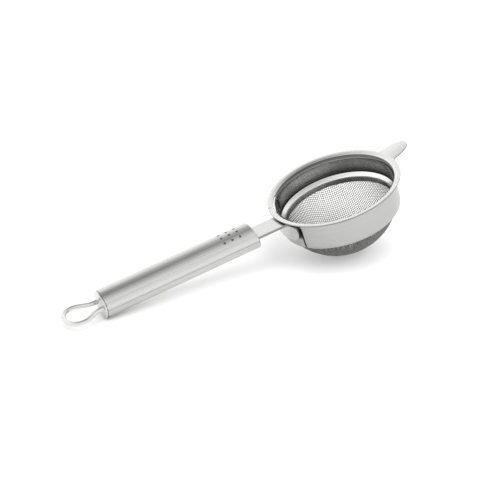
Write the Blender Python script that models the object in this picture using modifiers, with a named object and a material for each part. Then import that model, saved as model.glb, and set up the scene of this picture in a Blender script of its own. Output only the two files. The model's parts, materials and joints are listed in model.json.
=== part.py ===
"""Tea strainer with a round hollow handle, lying on a table on its wire bowl and its handle end.

The bowl is drawn in its own frame: origin at the centre of the rim, +Z up out of the bowl, the
handle towards -X and the rest tab towards +X. One empty tilts that frame into the lying pose and
a second one, under it, carries the handle's axis.
"""

import math

import bmesh
import bpy
from mathutils import Matrix, Vector

MM = 0.001
SEAM = 0.3 * MM
MERGE = 0.00001

# Rim: a flange rolled down into a collar, with a raised rest tab opposite the handle
RIM_OUTER_R = 42.0 * MM
RIM_INNER_R = 36.5 * MM
RIM_THICK = 0.9 * MM
SHEET = 0.5 * MM
COLLAR_DEPTH = 10.7 * MM
COLLAR_GAP_HALF = math.radians(44.0)
RIM_BEND = 4.2 * MM
BEND_CHORDS = 6
FLANGE_EDGE_R = 38.4 * MM
TAB_PITCH = math.radians(6.5)
TAB_HINGE_X = 41.3 * MM
TAB_LAP = 0.6 * MM
TAB_STRAIGHT = 2.7 * MM
TAB_ROUND = 13.0 * MM
TAB_HALF_WIDTH = 7.6 * MM
TAB_FLARE = 0.8 * MM
EDGE_ROUND = 0.25 * MM
JOINT_ANGLE = math.radians(157.5)
JOINT_WIDTH = 0.45 * MM
JOINT_LENGTH = 2.4 * MM
JOINT_DEPTH = 0.4 * MM

# Wall: an open band and the plate that closes it at the handle
WALL_INNER_R = RIM_INNER_R + SHEET + SEAM
WALL_OUTER_R = WALL_INNER_R + SHEET
WALL_TOP = -RIM_THICK - SEAM
WALL_SHOULDER = -3.4 * MM
WALL_RAISED_HALF = COLLAR_GAP_HALF - math.radians(0.6)
WALL_BOTTOM = -19.8 * MM
WALL_CURL = 0.5 * MM
WALL_CURL_HEIGHT = 3.0 * MM
BAND_GAP_HALF = math.radians(21.6)
PLATE_HALF_WIDTH = 13.35 * MM
PLATE_CORNER_R = 6.5 * MM

# Mesh bowl and the two rings that grip its edge
MESH_THICK = 0.6 * MM
MESH_EDGE_R = 35.7 * MM
MESH_EDGE_TOP = -15.8 * MM
MESH_BEND_Z = -19.3 * MM
MESH_BOTTOM = -43.5 * MM
MESH_RINGS = 8
CLAMP_INNER_R = 34.3 * MM
CLAMP_LIP_R = 36.9 * MM
CLAMP_LIP_Z = -13.3 * MM
CLAMP_KNEE_Z = -15.2 * MM
CLAMP_BOTTOM = -18.9 * MM

# Neck strap: flat bar, bent down into a curved saddle on the wall
STRAP_WIDTH = 14.0 * MM
STRAP_THICK = 1.6 * MM
STRAP_TOP = 1.0 * MM
STRAP_START = -1.8 * MM
SADDLE_HALF_WIDTH = 12.6 * MM
SADDLE_TOP = -2.6 * MM
SADDLE_BOTTOM = -14.2 * MM
SADDLE_CORNER_R = 5.4 * MM
BEND_R = 2.6 * MM
INSET = 0.1 * MM
SADDLE_THICK = STRAP_THICK + 2.0 * INSET
TANG_WIDTH = 10.0 * MM
TANG_LENGTH = 24.0 * MM
TANG_THICK = STRAP_THICK - 2.0 * INSET
TANG_LAP = 0.8 * MM

# Handle: round tube, plug, end cap and hanging loop
HANDLE_PITCH = math.radians(6.6)
TUBE_FRONT_X = -60.36 * MM
TUBE_FRONT_Z = -0.37 * MM
TUBE_R = 8.55 * MM
TUBE_WALL = 0.6 * MM
TUBE_LENGTH = 101.5 * MM
MOUTH_SLOPE = 0.2
MOUTH_LEAD = TUBE_R * MOUTH_SLOPE
DOT_R = 0.85 * MM
DOT_DEPTH = 0.35 * MM
DOT_PITCH = 5.3 * MM
DOT_FIRST = 10.8 * MM
DOT_TURN = math.radians(25.5)
DOT_CENTRE = math.radians(18.0)
PLUG_THICK = 3.0 * MM
PLUG_INSET = 2.2 * MM
CAP_RIM = 0.9 * MM
CAP_DOME = 1.2 * MM
CAP_SKIRT = 6.0 * MM
CAP_SHEET = 0.8 * MM
LEG_Y = 4.9 * MM
LEG_INSIDE = 5.0 * MM
LEG_OUTSIDE = 2.2 * MM
WIRE_R = 1.5 * MM
LOOP_HALF_WIDTH = 9.8 * MM
LOOP_WIDEST = 13.6 * MM
LOOP_LENGTH = 21.8 * MM
LOOP_ROUNDNESS = 2.3
LOOP_STEPS = 12

# Facets
RING_STEPS = 96
MESH_STEPS = 64
TUBE_STEPS = 48
FILLET_STEPS = 3
WINDOW_STEPS = 6

# Finishes: base colour and roughness
SATIN = ((0.80, 0.80, 0.79), 0.32)
SHEET_STEEL = ((0.72, 0.72, 0.71), 0.29)
WIRE_CLOTH = ((0.55, 0.55, 0.54), 0.40)
BRUSHED = ((0.66, 0.66, 0.65), 0.34)
POLISHED = ((0.78, 0.78, 0.77), 0.17)

parts = bpy.data.collections.new("tea_strainer")
cutters = bpy.data.collections.new("cutters")


# --- scene, materials and small helpers -------------------------------------------------------


def clear_scene():
    for obj in list(bpy.data.objects):
        bpy.data.objects.remove(obj, do_unlink=True)
    bpy.context.scene.collection.children.link(parts)
    bpy.context.scene.collection.children.link(cutters)


def steel(name, finish):
    """One stainless-steel finish, for one sub-part."""
    colour, roughness = finish
    material = bpy.data.materials.new(name + "_steel")
    material.use_nodes = True
    shader = material.node_tree.nodes["Principled BSDF"]
    shader.inputs["Base Color"].default_value = (*colour, 1.0)
    shader.inputs["Metallic"].default_value = 1.0
    shader.inputs["Roughness"].default_value = roughness
    return material


def place(obj, parent, finish):
    """Put a finished sub-part in the model under its parent frame, with its own material."""
    for collection in list(obj.users_collection):
        collection.objects.unlink(obj)
    parts.objects.link(obj)
    obj.parent = parent
    obj.data.materials.clear()
    obj.data.materials.append(steel(obj.name, finish))
    return obj


def place_cutter(obj, parent):
    """Put a Boolean's second operand beside the model, out of the render."""
    for collection in list(obj.users_collection):
        collection.objects.unlink(obj)
    cutters.objects.link(obj)
    obj.parent = parent
    obj.hide_render = True
    obj.display_type = "WIRE"
    return obj


def object_from_bmesh(name, bm):
    mesh = bpy.data.meshes.new(name)
    bm.to_mesh(mesh)
    bm.free()
    obj = bpy.data.objects.new(name, mesh)
    parts.objects.link(obj)
    return obj


def smooth(obj, angle=math.radians(35.0)):
    """Shade an object smooth, with edges sharper than the angle kept crisp."""
    obj.data.shade_smooth()
    obj.data.set_sharp_from_angle(angle=angle)
    return obj


def boolean(obj, other, operation):
    """Add an exact Boolean with another object as its operand."""
    modifier = obj.modifiers.new(operation.lower() + "_" + other.name, "BOOLEAN")
    modifier.operation = operation
    modifier.solver = "EXACT"
    modifier.object = other
    return obj


def rounded(points, radii, steps=FILLET_STEPS):
    """A closed 2D outline with an arc of the given radius at each corner."""
    outline = []
    count = len(points)
    for i, (point, radius) in enumerate(zip(points, radii)):
        corner = Vector(point)
        back = (Vector(points[i - 1]) - corner).normalized()
        ahead = (Vector(points[(i + 1) % count]) - corner).normalized()
        if radius == 0.0:
            outline.append(corner)
            continue
        half = back.angle(ahead) / 2.0
        centre = corner + (back + ahead).normalized() * (radius / math.sin(half))
        start = corner + back * (radius / math.tan(half)) - centre
        end = corner + ahead * (radius / math.tan(half)) - centre
        turn = start.angle_signed(end)
        for k in range(steps + 1):
            outline.append(centre + Matrix.Rotation(-turn * k / steps, 2) @ start)
    return outline


def turned(name, outline, steps=RING_STEPS, closed=True):
    """Turn an outline of (radius, z) points, running down its outer side, about Z."""
    bm = bmesh.new()
    verts = [bm.verts.new((point[0], 0.0, point[1])) for point in outline]
    pairs = zip(verts, verts[1:] + verts[:1]) if closed else zip(verts, verts[1:])
    for a, b in pairs:
        bm.edges.new((a, b))
    obj = object_from_bmesh(name, bm)
    screw = obj.modifiers.new("turn", "SCREW")
    screw.steps = steps
    screw.render_steps = steps
    screw.use_merge_vertices = True
    screw.merge_threshold = MERGE
    screw.use_smooth_shade = True
    return obj


def flat_solid(name, outlines, bottom, top, edge=0.0):
    """A flat plate from closed outlines of (x, y) points, the later ones being holes in the first."""
    curve = bpy.data.curves.new(name + "_outline", "CURVE")
    curve.dimensions = "2D"
    curve.fill_mode = "BOTH"
    curve.extrude = (top - bottom) / 2.0 - edge
    curve.bevel_depth = edge
    curve.bevel_resolution = 1
    curve.offset = -edge
    for outline in outlines:
        spline = curve.splines.new("POLY")
        spline.points.add(len(outline) - 1)
        for point, (x, y) in zip(spline.points, outline):
            point.co = (x, y, 0.0, 1.0)
        spline.use_cyclic_u = True
    flat = bpy.data.objects.new(name + "_curve", curve)
    parts.objects.link(flat)
    flat.location = (0.0, 0.0, (top + bottom) / 2.0)
    return mesh_from_curve(flat, name)


def mesh_from_curve(curve_object, name):
    """Turn a curve object into a welded mesh object in the same place."""
    bpy.context.view_layer.update()
    evaluated = curve_object.evaluated_get(bpy.context.evaluated_depsgraph_get())
    mesh = bpy.data.meshes.new_from_object(evaluated)
    bm = bmesh.new()
    bm.from_mesh(mesh)
    bmesh.ops.remove_doubles(bm, verts=bm.verts, dist=MERGE)
    bmesh.ops.recalc_face_normals(bm, faces=bm.faces)
    bm.to_mesh(mesh)
    bm.free()
    obj = bpy.data.objects.new(name, mesh)
    parts.objects.link(obj)
    obj.matrix_world = curve_object.matrix_world
    bpy.data.objects.remove(curve_object, do_unlink=True)
    return obj


def circle(radius, steps=RING_STEPS, start=0.0, sweep=2.0 * math.pi):
    angles = (start + sweep * k / steps for k in range(steps))
    return [(radius * math.cos(a), radius * math.sin(a)) for a in angles]


def box(name, size, location):
    bm = bmesh.new()
    bmesh.ops.create_cube(bm, size=1.0)
    bmesh.ops.scale(bm, vec=size, verts=bm.verts)
    bmesh.ops.translate(bm, vec=location, verts=bm.verts)
    return object_from_bmesh(name, bm)


def side_window(name, half_width, bottom, top, radii):
    """A prism along X with a rounded rectangle as its outline in Y and Z, on the handle's side."""
    corners = ((-half_width, bottom), (half_width, bottom), (half_width, top), (-half_width, top))
    reach = RIM_OUTER_R + BEND_R
    window = flat_solid(name, [rounded(corners, radii, WINDOW_STEPS)], -reach, -reach / 3.0)
    turn = Matrix.Rotation(math.pi / 2.0, 4, "Z") @ Matrix.Rotation(math.pi / 2.0, 4, "X")
    window.matrix_world = turn @ window.matrix_world
    return window


def sector(name, half_angle, bottom, top):
    """A wedge about the handle's side of the bowl."""
    reach = RIM_OUTER_R + BEND_R
    side = reach * math.tan(half_angle)
    return flat_solid(name, [((0.0, 0.0), (-reach, side), (-reach, -side))], bottom, top)


def far_side(name, half_angle, bottom, top):
    """Everything about the bowl's axis outside the wedge on the handle's side."""
    chords = RING_STEPS // 4
    start = half_angle - math.pi
    arc = circle(RIM_OUTER_R + BEND_R, chords, start, -2.0 * start * chords / (chords - 1))
    return flat_solid(name, [[(0.0, 0.0)] + arc], bottom, top)


# --- frames ------------------------------------------------------------------------------------


def mesh_sphere():
    """Radius and centre height of the spherical part of the wire bowl's outside."""
    depth = MESH_BEND_Z - MESH_BOTTOM
    radius = (MESH_EDGE_R**2 + depth**2) / (2.0 * depth)
    return radius, MESH_BOTTOM + radius


def handle_point(along, up=0.0):
    """A point of the handle's mid plane in the bowl's frame; along is 0 at the tube's front."""
    c, s = math.cos(HANDLE_PITCH), math.sin(HANDLE_PITCH)
    return Vector((TUBE_FRONT_X + c * along + s * up, 0.0, TUBE_FRONT_Z - s * along + c * up))


def tab_point(along, up=0.0):
    """A point of the rest tab's mid plane in the bowl's frame; along is 0 at the tab's hinge."""
    c, s = math.cos(TAB_PITCH), math.sin(TAB_PITCH)
    return Vector((TAB_HINGE_X + c * along - s * up, 0.0, s * along + c * up))


def lying_tilt():
    """Tilt at which the wire bowl and the end cap's lower edge touch the same level."""
    radius, centre_z = mesh_sphere()
    heel = handle_point(-TUBE_LENGTH - SEAM - CAP_RIM, -TUBE_R)
    lift = heel.z - centre_z
    return math.pi + math.asin(radius / math.hypot(heel.x, lift)) - math.atan2(lift, heel.x)


def make_frames():
    """The lying pose puts the table at Z 0 and the middle of the length at X 0."""
    tilt = lying_tilt()
    c, s = math.cos(tilt), math.sin(tilt)
    radius, centre_z = mesh_sphere()
    tip = tab_point(TAB_STRAIGHT + TAB_ROUND, -RIM_THICK / 2.0)
    tab_tip = tip.x * c - tip.z * s
    end = handle_point(-TUBE_LENGTH - SEAM - CAP_RIM - LOOP_LENGTH)
    loop_tip = end.x * c - end.z * s - WIRE_R
    bowl = bpy.data.objects.new("bowl_frame", None)
    bowl.location = (-(tab_tip + loop_tip) / 2.0, 0.0, radius - centre_z * c)
    bowl.rotation_euler = (0.0, -tilt, 0.0)
    handle = bpy.data.objects.new("handle_frame", None)
    handle.parent = bowl
    handle.location = (TUBE_FRONT_X, 0.0, TUBE_FRONT_Z)
    handle.rotation_euler = (0.0, HANDLE_PITCH, 0.0)
    for empty in (bowl, handle):
        parts.objects.link(empty)
    return bowl, handle


# --- bowl --------------------------------------------------------------------------------------


def rim_section():
    """The sheet's outline in radius and height: flat edge, bend, and collar."""
    centre_r, centre_z = RIM_INNER_R + RIM_BEND, -RIM_BEND
    under_r, under_z = RIM_BEND - SHEET, RIM_BEND - RIM_THICK
    bend = [math.pi / 2.0 * k / BEND_CHORDS for k in range(BEND_CHORDS + 1)]
    under = [(centre_r - under_r * math.sin(a), centre_z + under_z * math.cos(a)) for a in bend]
    over = [(centre_r - RIM_BEND * math.sin(a), centre_z + RIM_BEND * math.cos(a)) for a in bend]
    edge = [(RIM_OUTER_R, 0.0), (RIM_OUTER_R, -RIM_THICK)]
    foot = [(RIM_INNER_R + SHEET, -COLLAR_DEPTH), (RIM_INNER_R, -COLLAR_DEPTH)]
    radii = [EDGE_ROUND] * 2 + [0.0] * len(under) + [EDGE_ROUND / 2.0] * 2 + [0.0] * len(over)
    return rounded(edge + under + foot + list(reversed(over)), radii, 2)


def make_tab():
    """The rest tab: a rounded plate that rises a little from the rim's outer edge."""
    steps = 14
    side = []
    for k in range(5):
        along = TAB_STRAIGHT * k / 4.0 - TAB_LAP * (1.0 - k / 4.0)
        back = 1.0 - along / TAB_STRAIGHT
        side.append((along, TAB_HALF_WIDTH + TAB_FLARE * back * back))
    for k in range(1, steps):
        a = math.pi / 2.0 * k / steps
        side.append((TAB_STRAIGHT + TAB_ROUND * math.sin(a), TAB_HALF_WIDTH * math.cos(a)))
    mirrored = [(x, -y) for x, y in side]
    outline = mirrored + [(TAB_STRAIGHT + TAB_ROUND, 0.0)] + list(reversed(side))
    tab = flat_solid("rest_tab", [outline], -RIM_THICK, 0.0, EDGE_ROUND)
    tab.matrix_world = (
        Matrix.Translation((TAB_HINGE_X, 0.0, 0.0)) @ Matrix.Rotation(-TAB_PITCH, 4, "Y") @ tab.matrix_world
    )
    return tab


def make_rim(frame):
    """Rolled rim with its tab, the gap in its collar and the small butt joint in the flange."""
    rim = turned("rim_ring", rim_section())
    tab = make_tab()
    opening = sector("collar_opening", COLLAR_GAP_HALF, -COLLAR_DEPTH - RIM_THICK, -RIM_THICK - INSET)
    chords = RING_STEPS // 4
    sweep = 2.0 * COLLAR_GAP_HALF * chords / (chords - 1)
    arc = circle(FLANGE_EDGE_R, chords, math.pi - COLLAR_GAP_HALF, sweep)
    notch = flat_solid("flange_notch", [[(0.0, 0.0)] + arc], -COLLAR_DEPTH - SEAM, SEAM)
    joint = box("rim_joint", (JOINT_LENGTH, JOINT_WIDTH, JOINT_DEPTH * 2.0), (RIM_OUTER_R, 0.0, 0.0))
    joint.rotation_euler = (0.0, 0.0, JOINT_ANGLE)
    boolean(rim, tab, "UNION")
    boolean(rim, opening, "DIFFERENCE")
    boolean(rim, notch, "DIFFERENCE")
    boolean(rim, joint, "DIFFERENCE")
    for cutter in (tab, opening, notch, joint):
        place_cutter(cutter, frame)
    place(smooth(rim), frame, SATIN)


def wall_ring(name):
    """The whole wall ring: a straight sheet whose lower edge curls in a little."""
    curl_steps = 4
    curl = []
    for k in range(curl_steps + 1):
        t = k / curl_steps
        curl.append((-WALL_CURL * t * t, WALL_BOTTOM + WALL_CURL_HEIGHT * (1.0 - t)))
    outside = [(WALL_OUTER_R + inward, z) for inward, z in curl]
    inside = [(WALL_INNER_R + inward, z) for inward, z in reversed(curl)]
    return turned(name, [(WALL_OUTER_R, WALL_TOP)] + outside + inside + [(WALL_INNER_R, WALL_TOP)])


def make_wall(frame):
    """The open band, lower under the rim's bend, and the plate that closes it behind the saddle."""
    band = wall_ring("wall_band")
    gap = sector("band_gap", BAND_GAP_HALF, WALL_BOTTOM - SHEET, 0.0)
    shoulder = far_side("shoulder_cut", WALL_RAISED_HALF, WALL_SHOULDER, 0.0)
    boolean(band, gap, "DIFFERENCE")
    boolean(band, shoulder, "DIFFERENCE")
    plate = wall_ring("closing_plate")
    radii = (0.0, 0.0, PLATE_CORNER_R, PLATE_CORNER_R)
    window = side_window("plate_window", PLATE_HALF_WIDTH, WALL_BOTTOM - SHEET, WALL_TOP - INSET, radii)
    boolean(plate, window, "INTERSECT")
    for cutter in (gap, shoulder, window):
        place_cutter(cutter, frame)
    place(smooth(band), frame, SHEET_STEEL)
    place(smooth(plate), frame, SHEET_STEEL)


def make_mesh_bowl(frame):
    """The wire cloth as one thin shell: a short upright edge above a spherical bottom."""
    radius, centre_z = mesh_sphere()
    widest = math.asin(MESH_EDGE_R / radius)
    arc = [widest * (1.0 - k / MESH_RINGS) for k in range(MESH_RINGS + 1)]
    outside = [(radius * math.sin(a), centre_z - radius * math.cos(a)) for a in arc]
    inner = radius - MESH_THICK
    inside = [(inner * math.sin(a), centre_z - inner * math.cos(a)) for a in reversed(arc)]
    inside[-1] = (MESH_EDGE_R - MESH_THICK, MESH_BEND_Z)
    edge = [(MESH_EDGE_R - MESH_THICK, MESH_EDGE_TOP), (MESH_EDGE_R, MESH_EDGE_TOP)]
    outside[-1] = (0.0, MESH_BOTTOM)
    inside[0] = (0.0, MESH_BOTTOM + MESH_THICK)
    bowl = turned("mesh_bowl", inside + edge + outside, MESH_STEPS, closed=False)
    place(smooth(bowl), frame, WIRE_CLOTH)


def make_clamp_rings(frame):
    """The inner ring with its sloping lip, and the ring outside the wire cloth's edge."""
    outer = CLAMP_INNER_R + SHEET
    slope = math.atan2(CLAMP_LIP_Z - CLAMP_KNEE_Z, CLAMP_LIP_R - outer)
    across = Vector((-math.sin(slope), math.cos(slope))) * SHEET
    knee_rise = SHEET * math.tan((math.pi / 2.0 - slope) / 2.0)
    outline = (
        (CLAMP_LIP_R, CLAMP_LIP_Z),
        (outer, CLAMP_KNEE_Z),
        (outer, CLAMP_BOTTOM),
        (CLAMP_INNER_R, CLAMP_BOTTOM),
        (CLAMP_INNER_R, CLAMP_KNEE_Z + knee_rise),
        (CLAMP_LIP_R + across.x, CLAMP_LIP_Z + across.y),
    )
    small = EDGE_ROUND / 2.0
    radii = (small, 2.0 * small, small, small, 3.0 * small, small)
    place(smooth(turned("clamp_ring", rounded(outline, radii, 1))), frame, SATIN)
    inner = MESH_EDGE_R + SEAM
    outer = inner + SHEET
    outline = ((outer, MESH_EDGE_TOP), (outer, WALL_BOTTOM), (inner, WALL_BOTTOM), (inner, MESH_EDGE_TOP))
    place(smooth(turned("support_ring", outline)), frame, SHEET_STEEL)


# --- neck strap --------------------------------------------------------------------------------


def strap_path(saddle_mid_r):
    """Points of the strap's middle in the bowl's mid plane, each with its share of the wall's curve."""
    middle = STRAP_TOP - STRAP_THICK / 2.0
    drop = math.pi / 2.0 - HANDLE_PITCH
    bend_mid = BEND_R - STRAP_THICK / 2.0
    start = handle_point(STRAP_START, middle)
    direction = Vector((math.cos(HANDLE_PITCH), 0.0, -math.sin(HANDLE_PITCH)))
    corner = (-saddle_mid_r - start.x) / direction.x
    turn_length = bend_mid * math.tan(drop / 2.0)
    bend_start = start + direction * (corner - turn_length)
    centre = bend_start - Vector((-direction.z, 0.0, direction.x)) * bend_mid
    free = start + direction * (2.0 * MOUTH_LEAD - STRAP_START)
    path = [(start, 0.0), (free, 0.0), (bend_start, 0.0)]
    arm = bend_start - centre
    bend_steps = 8
    for k in range(1, bend_steps + 1):
        share = k / bend_steps
        point = centre + Matrix.Rotation(drop * share, 3, "Y") @ arm
        path.append((point, share * share * (3.0 - 2.0 * share)))
    bottom = Vector((path[-1][0].x, 0.0, SADDLE_BOTTOM + SADDLE_CORNER_R))
    return path + [(bottom, 1.0)]


def make_bar(inner):
    """The flat bar from the tube's front down to the foot of the saddle."""
    across = 8
    bm = bmesh.new()
    rows = []
    for point, share in strap_path(inner + SADDLE_THICK / 2.0):
        row = []
        for j in range(across + 1):
            y = STRAP_WIDTH * (j / across - 0.5)
            curve = inner - math.sqrt(inner**2 - y**2)
            row.append(bm.verts.new((point.x + curve * share, y, point.z)))
        rows.append(row)
    for lower, upper in zip(rows, rows[1:]):
        for j in range(across):
            bm.faces.new((lower[j], upper[j], upper[j + 1], lower[j + 1]))
    bar = object_from_bmesh("strap_bar", bm)
    solid = bar.modifiers.new("thickness", "SOLIDIFY")
    solid.thickness = STRAP_THICK
    solid.offset = 0.0
    solid.use_even_offset = True
    return bar


def make_tang():
    """The narrow end of the strap that runs back inside the tube."""
    front = STRAP_START + TANG_LAP
    size = (TANG_LENGTH + front, TANG_WIDTH, TANG_THICK)
    tang = box("tang", size, ((front - TANG_LENGTH) / 2.0, 0.0, STRAP_TOP - STRAP_THICK / 2.0))
    tang.location = (TUBE_FRONT_X, 0.0, TUBE_FRONT_Z)
    tang.rotation_euler = (0.0, HANDLE_PITCH, 0.0)
    return tang


def make_strap(frame):
    """The strap, its curved saddle and its tang as one bent piece."""
    inner = WALL_OUTER_R + SEAM
    outer = inner + SADDLE_THICK
    outline = ((outer, SADDLE_TOP), (outer, SADDLE_BOTTOM), (inner, SADDLE_BOTTOM), (inner, SADDLE_TOP))
    strap = turned("neck_strap", rounded(outline, (EDGE_ROUND, EDGE_ROUND, 0.0, 0.0), 2))
    radii = (SADDLE_CORNER_R,) * 4
    top, bottom = SADDLE_TOP + INSET, SADDLE_BOTTOM - INSET
    window = side_window("saddle_window", SADDLE_HALF_WIDTH, bottom, top, radii)
    bar = make_bar(inner)
    tang = make_tang()
    boolean(strap, window, "INTERSECT")
    boolean(strap, bar, "UNION")
    boolean(strap, tang, "UNION")
    for cutter in (window, bar, tang):
        place_cutter(cutter, frame)
    place(smooth(strap), frame, SATIN)


# --- handle ------------------------------------------------------------------------------------


def along_handle(obj):
    """Lay an object's Z axis along the handle's X axis."""
    obj.rotation_euler = (0.0, math.pi / 2.0, 0.0)
    return obj


def make_tube(frame):
    """Open tube with a slanted mouth and a three by three field of shallow grip dimples near it."""
    inner = TUBE_R - TUBE_WALL
    front = MOUTH_LEAD + SHEET
    outline = ((TUBE_R, front), (TUBE_R, -TUBE_LENGTH), (inner, -TUBE_LENGTH), (inner, front))
    tube = along_handle(turned("handle_tube", rounded(outline, (EDGE_ROUND,) * 4, 2), TUBE_STEPS))
    mouth = box("mouth_cut", (TUBE_R * 2.0,) * 3, (TUBE_R, 0.0, 0.0))
    mouth.scale = (1.0, 2.0, 2.0)
    mouth.rotation_euler = (0.0, -math.atan(MOUTH_SLOPE), 0.0)
    ball = (DOT_R**2 + DOT_DEPTH**2) / (2.0 * DOT_DEPTH)
    height = TUBE_R - DOT_DEPTH + ball
    bm = bmesh.new()
    for row in range(3):
        for column in (-1, 0, 1):
            angle = DOT_CENTRE + column * DOT_TURN
            along = -DOT_FIRST - row * DOT_PITCH
            place_at = Vector((along, -height * math.sin(angle), height * math.cos(angle)))
            spin = Matrix.Rotation(angle, 4, "X")
            bmesh.ops.create_uvsphere(
                bm, u_segments=16, v_segments=16, radius=ball, matrix=Matrix.Translation(place_at) @ spin
            )
    dots = object_from_bmesh("grip_dimples", bm)
    boolean(tube, mouth, "DIFFERENCE")
    boolean(tube, dots, "DIFFERENCE")
    for cutter in (mouth, dots):
        place_cutter(cutter, frame)
    place(smooth(tube), frame, BRUSHED)


def make_plug(frame):
    """Disc in the tube's front, slotted for the strap's tang."""
    radius = TUBE_R - TUBE_WALL - SEAM
    back = -PLUG_INSET - PLUG_THICK
    path = [(0.0, -PLUG_INSET), (radius, -PLUG_INSET), (radius, back), (0.0, back)]
    plug = along_handle(turned("front_plug", path, TUBE_STEPS, closed=False))
    size = (PLUG_THICK * 2.0, TANG_WIDTH + 2.0 * SEAM, TANG_THICK + 2.0 * SEAM)
    slot = box("tang_slot", size, ((back - PLUG_INSET) / 2.0, 0.0, STRAP_TOP - STRAP_THICK / 2.0))
    boolean(plug, slot, "DIFFERENCE")
    place_cutter(slot, frame)
    place(smooth(plug), frame, BRUSHED)


def make_cap(frame):
    """Domed end cap with a skirt inside the tube and two holes for the loop's legs."""
    skirt = TUBE_R - TUBE_WALL - SEAM
    inside = skirt - CAP_SHEET
    face = -TUBE_LENGTH - SEAM
    back = face - CAP_RIM
    dome_r = (TUBE_R**2 + CAP_DOME**2) / (2.0 * CAP_DOME)
    dome_steps = 8
    dome = []
    for k in range(1, dome_steps + 1):
        r = TUBE_R * (1.0 - k / dome_steps)
        dome.append((r, back - CAP_DOME + dome_r - math.sqrt(dome_r**2 - r**2)))
    path = [
        (0.0, back - CAP_DOME + CAP_SHEET + CAP_RIM / 2.0),
        (inside, back + CAP_RIM / 2.0),
        (inside, face + CAP_SKIRT),
        (skirt, face + CAP_SKIRT),
        (skirt, face),
        (TUBE_R, face),
        (TUBE_R, back),
        *dome,
    ]
    cap = along_handle(turned("end_cap", path, TUBE_STEPS, closed=False))
    bm = bmesh.new()
    for side in (-LEG_Y, LEG_Y):
        lay = Matrix.Translation((back, side, 0.0)) @ Matrix.Rotation(math.pi / 2.0, 4, "Y")
        bmesh.ops.create_cone(
            bm, cap_ends=True, segments=24, radius1=WIRE_R + SEAM, radius2=WIRE_R + SEAM,
            depth=4.0 * CAP_SKIRT, matrix=lay,
        )
    holes = object_from_bmesh("leg_holes", bm)
    boolean(cap, holes, "DIFFERENCE")
    place_cutter(holes, frame)
    place(smooth(cap), frame, POLISHED)


def loop_half():
    """Half of the loop's centreline as (distance behind the cap, half width), leg first."""
    points = [(-LEG_INSIDE, LEG_Y)]
    for k in range(LOOP_STEPS):
        t = k / LOOP_STEPS
        width = LEG_Y + (LOOP_HALF_WIDTH - LEG_Y) * t * t * (3.0 - 2.0 * t)
        points.append((LEG_OUTSIDE + (LOOP_WIDEST - LEG_OUTSIDE) * t, width))
    for k in range(LOOP_STEPS):
        a = math.pi / 2.0 * k / LOOP_STEPS
        power = 2.0 / LOOP_ROUNDNESS
        reach = (LOOP_LENGTH - LOOP_WIDEST) * math.sin(a) ** power
        points.append((LOOP_WIDEST + reach, LOOP_HALF_WIDTH * math.cos(a) ** power))
    return points


def make_loop(frame):
    """Hanging loop of round wire, with both legs fixed in the end cap."""
    half = loop_half()
    tip = [(LOOP_LENGTH, 0.0)]
    route = half + tip + [(reach, -width) for reach, width in reversed(half)]
    curve = bpy.data.curves.new("hanging_loop", "CURVE")
    curve.dimensions = "3D"
    curve.bevel_depth = WIRE_R
    curve.bevel_resolution = 4
    curve.use_fill_caps = True
    spline = curve.splines.new("POLY")
    spline.points.add(len(route) - 1)
    back = -TUBE_LENGTH - SEAM - CAP_RIM
    for point, (reach, width) in zip(spline.points, route):
        point.co = (back - reach, width, 0.0, 1.0)
    spline.use_smooth = True
    loop = bpy.data.objects.new("hanging_loop", curve)
    parts.objects.link(loop)
    place(loop, frame, POLISHED)


def main():
    clear_scene()
    bowl, handle = make_frames()
    make_rim(bowl)
    make_wall(bowl)
    make_mesh_bowl(bowl)
    make_clamp_rings(bowl)
    make_strap(bowl)
    make_tube(handle)
    make_plug(handle)
    make_cap(handle)
    make_loop(handle)


main()
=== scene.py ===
"""Looks of the tea strainer: fine pieces, steel finishes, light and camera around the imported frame."""

import json
import math

import bmesh
import bpy
import numpy as np
from mathutils import Matrix, Vector


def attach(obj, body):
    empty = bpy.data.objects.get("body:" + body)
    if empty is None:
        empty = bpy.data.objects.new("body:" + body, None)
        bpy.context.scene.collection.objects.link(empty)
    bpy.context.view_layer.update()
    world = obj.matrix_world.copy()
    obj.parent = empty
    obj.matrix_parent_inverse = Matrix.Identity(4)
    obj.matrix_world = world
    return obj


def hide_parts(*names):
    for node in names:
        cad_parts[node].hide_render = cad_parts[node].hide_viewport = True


MM = 0.001

# Dimensions of the solids, as in the CAD source
RIM_OUTER_R = 42.0 * MM
RIM_INNER_R = 36.5 * MM
RIM_THICK = 0.9 * MM
SHEET = 0.5 * MM
SEAM = 0.3 * MM
COLLAR_DEPTH = 10.7 * MM
COLLAR_GAP_HALF = math.radians(44.0)
RIM_BEND = 4.2 * MM
FLANGE_EDGE_R = 38.4 * MM
TAB_PITCH = math.radians(6.5)
TAB_HINGE_X = 41.3 * MM
TAB_LAP = 0.6 * MM
TAB_STRAIGHT = 2.7 * MM
TAB_ROUND = 13.0 * MM
TAB_HALF_WIDTH = 7.6 * MM
TAB_FLARE = 0.8 * MM
JOINT_ANGLE = math.radians(157.5)
WALL_INNER_R = RIM_INNER_R + SHEET + SEAM
WALL_OUTER_R = WALL_INNER_R + SHEET
WALL_TOP = -RIM_THICK - SEAM
WALL_SHOULDER = -3.4 * MM
WALL_RAISED_HALF = COLLAR_GAP_HALF - math.radians(0.6)
WALL_BOTTOM = -19.8 * MM
WALL_CURL = 0.5 * MM
WALL_CURL_HEIGHT = 3.0 * MM
BAND_GAP_HALF = math.radians(21.6)
PLATE_HALF_WIDTH = 13.35 * MM
MESH_THICK = 0.6 * MM
MESH_EDGE_R = 35.7 * MM
MESH_BEND_Z = -19.3 * MM
MESH_BOTTOM = -43.5 * MM
CLAMP_INNER_R = 34.3 * MM
CLAMP_LIP_R = 36.9 * MM
CLAMP_LIP_Z = -13.3 * MM
CLAMP_KNEE_Z = -15.2 * MM
CLAMP_BOTTOM = -18.9 * MM
STRAP_HALF = 7.0 * MM
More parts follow.
